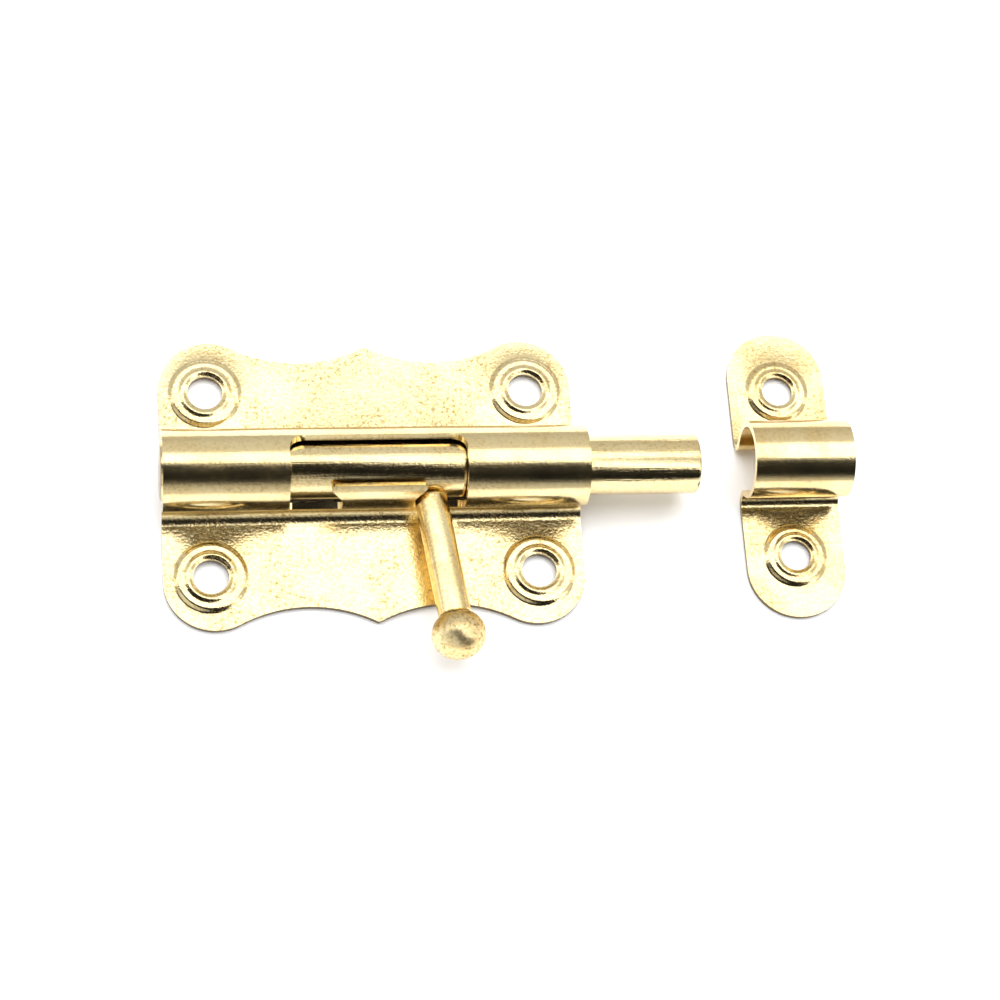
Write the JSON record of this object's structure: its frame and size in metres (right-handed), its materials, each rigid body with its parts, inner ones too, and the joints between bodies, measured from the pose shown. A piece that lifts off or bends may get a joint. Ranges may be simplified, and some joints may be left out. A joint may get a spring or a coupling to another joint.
{
  "type": "toggle bolt latch",
  "caption": "Small pressed-brass surface barrel bolt: round sliding bolt turned and drawn by a side ball knob, with a separate strap keeper.",
  "frame": {"origin": "centre of the case's four screw holes, on the wall plane under the sheet", "axes": "+X the way the bolt is thrown, towards the keeper; +Y across the bolt, away from the knob; +Z out of the wall"},
  "size_m": [0.0827, 0.0426, 0.0104],
  "materials": {
    "case_brass": "polished sheet, fine speckle",
    "rod_brass": "polished, drawn along its length",
    "stem_brass": "polished, turned",
    "ball_brass": "polished, turned",
    "keeper_brass": "polished sheet, fine speckle"
  },
  "bodies": {
    "case": {"case": "case_brass"},
    "bolt": {"bolt_rod": "rod_brass"},
    "knob": {"knob_stem": "stem_brass", "knob_ball": "ball_brass"},
    "keeper": {"keeper": "keeper_brass"}
  },
  "joints": [
    {"name": "bolt_throw", "type": "slide", "parent": "case", "child": "bolt", "axis": [1, 0, 0], "range_m": [-0.0146, 0.0018]},
    {"name": "knob_turn", "type": "hinge", "parent": "bolt", "child": "knob", "pos_m": [0.00578, 0, 0.00555], "axis": [-1, 0, 0], "range_deg": [0, 92]},
    {"name": "keeper_shift", "type": "slide", "parent": "case", "child": "keeper", "axis": [-0.9996, -0.0266, 0], "range_m": [0, 0.01881]}
  ]
}
